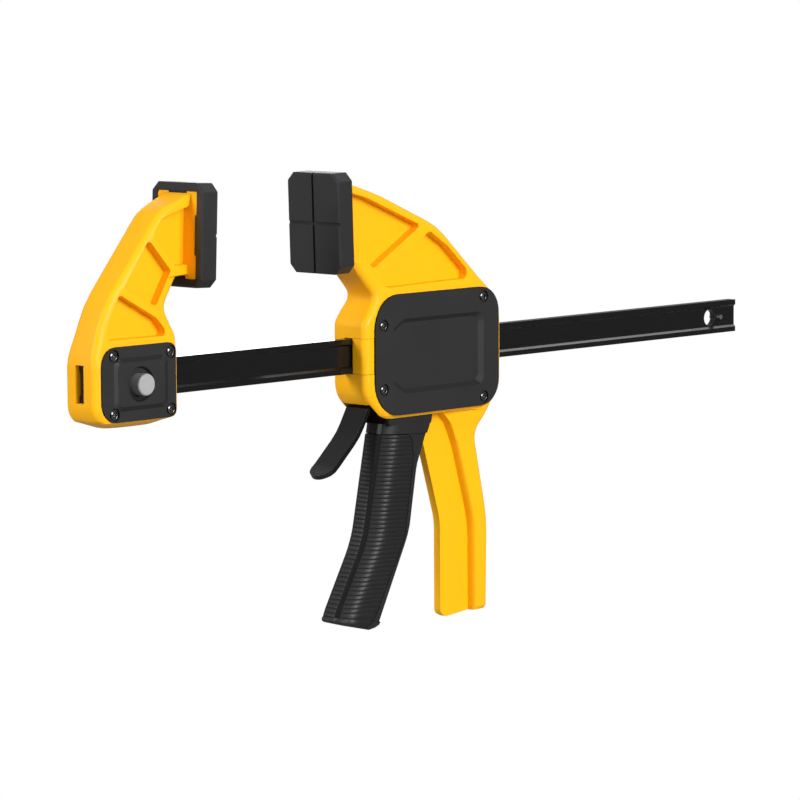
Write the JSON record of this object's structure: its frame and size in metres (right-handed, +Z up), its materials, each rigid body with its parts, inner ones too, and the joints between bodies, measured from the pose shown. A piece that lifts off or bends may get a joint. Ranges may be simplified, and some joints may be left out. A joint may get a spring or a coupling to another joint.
{
  "type": "quick release bar clamp",
  "caption": "One-handed bar clamp: a fixed jaw with a button-locked end and a sliding jaw with a squeeze lever and a release lever on an I-section bar.",
  "frame": {"origin": "centre of the hanging hole in the bar, at the middle of the bar's thickness", "axes": "+X along the bar towards its free end, +Z up towards the pads, -Y the side with the covers and the button"},
  "size_m": [0.546, 0.0408, 0.2653],
  "materials": {
    "bar_paint": "satin black paint",
    "steel": "zinc plated",
    "spring_steel": "drawn wire",
    "screw_steel": "dark zinc",
    "yellow_plastic": "satin moulded",
    "black_plastic": "fine texture",
    "lever_plastic": "satin moulded",
    "grip_rubber": "soft ribbed",
    "pad_rubber": "soft smooth",
    "grey_plastic": "satin moulded"
  },
  "bodies": {
    "bar": {"bar": "bar_paint", "stop_pin": "steel", "fixed_jaw": "yellow_plastic", "fixed_pad": "pad_rubber", "fixed_jaw_cover": "black_plastic", "fixed_cover_screws": "screw_steel", "lock_spring": "spring_steel"},
    "quick_change": {"quick_change_button": "grey_plastic", "lock_yoke": "steel"},
    "sliding_jaw": {"housing": "yellow_plastic", "moving_pad": "pad_rubber", "housing_cover": "black_plastic", "housing_screws": "screw_steel", "front_bar_guide": "yellow_plastic", "rear_bar_guide": "yellow_plastic", "lever_pin": "steel", "brake_spring": "spring_steel", "drive_spring": "spring_steel"},
    "squeeze_lever": {"squeeze_lever": "lever_plastic", "lever_grip": "grip_rubber"},
    "release_lever": {"release_lever": "black_plastic", "brake_plate": "steel"},
    "drive_plates": {"drive_plate_front": "steel", "drive_plate_rear": "steel"}
  },
  "joints": [
    {"name": "jaw_slide", "type": "slide", "parent": "bar", "child": "sliding_jaw", "axis": [1, 0, 0], "range_m": [-0.0908, 0.2109]},
    {"name": "button_press", "type": "slide", "parent": "bar", "child": "quick_change", "axis": [0, 1, 0], "range_m": [0, 0.0036], "stiffness_N_per_m": 900, "springref_m": -0.004, "deforming": ["lock_spring"]},
    {"name": "squeeze", "type": "hinge", "parent": "sliding_jaw", "child": "squeeze_lever", "pos_m": [-0.2716, 0, 0.017], "axis": [0, -1, 0], "range_deg": [0, 18], "stiffness_Nm_per_rad": 1.2, "springref_deg": -20.05},
    {"name": "drive", "type": "slide", "parent": "sliding_jaw", "child": "drive_plates", "axis": [1, 0, 0], "range_m": [0, 0.0095], "deforming": ["drive_spring"]},
    {"name": "release", "type": "hinge", "parent": "sliding_jaw", "child": "release_lever", "pos_m": [-0.2936, 0, 0.017], "axis": [0, -1, 0], "range_deg": [0, 8], "stiffness_Nm_per_rad": 1.5, "springref_deg": -17.19, "deforming": ["brake_spring"]}
  ],
  "couplings": [
    {"joint": "drive", "follows": "squeeze", "m_per_rad": 0.03}
  ]
}
